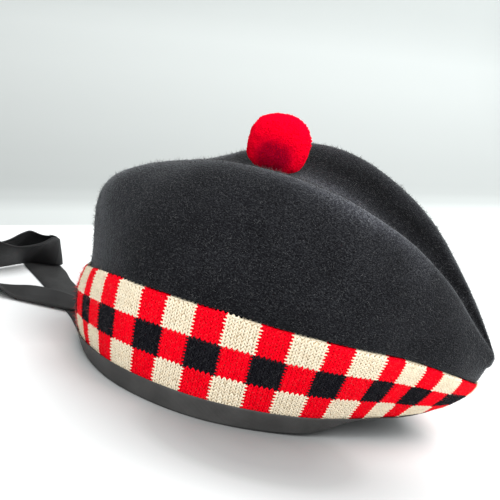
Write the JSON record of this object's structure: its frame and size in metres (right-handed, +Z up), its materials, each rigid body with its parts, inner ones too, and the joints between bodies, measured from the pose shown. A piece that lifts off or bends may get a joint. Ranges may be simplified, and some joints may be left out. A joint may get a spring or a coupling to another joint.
{
  "type": "glengarry bonnet",
  "caption": "Dark felt glengarry bonnet with a red, cream and black diced band, bound edge, red pompom and two ribbon tails",
  "frame": {"origin": "middle of the head opening, in the plane on which the bound edge stands", "axes": "+X towards the pointed front, -Y towards the wearer's right, +Z up through the crown"},
  "size_m": [0.3223, 0.2129, 0.147],
  "materials": {
    "black_felt": "felted",
    "diced_knit": "knitted",
    "black_ribbon": "satin",
    "red_wool": "fuzzy"
  },
  "bodies": {
    "root": {"bonnet_body": "black_felt", "diced_band": "diced_knit", "edge_binding": "black_ribbon", "toorie": "red_wool", "ribbon_tail_long": "black_ribbon", "ribbon_tail_short": "black_ribbon"}
  },
  "joints": []
}
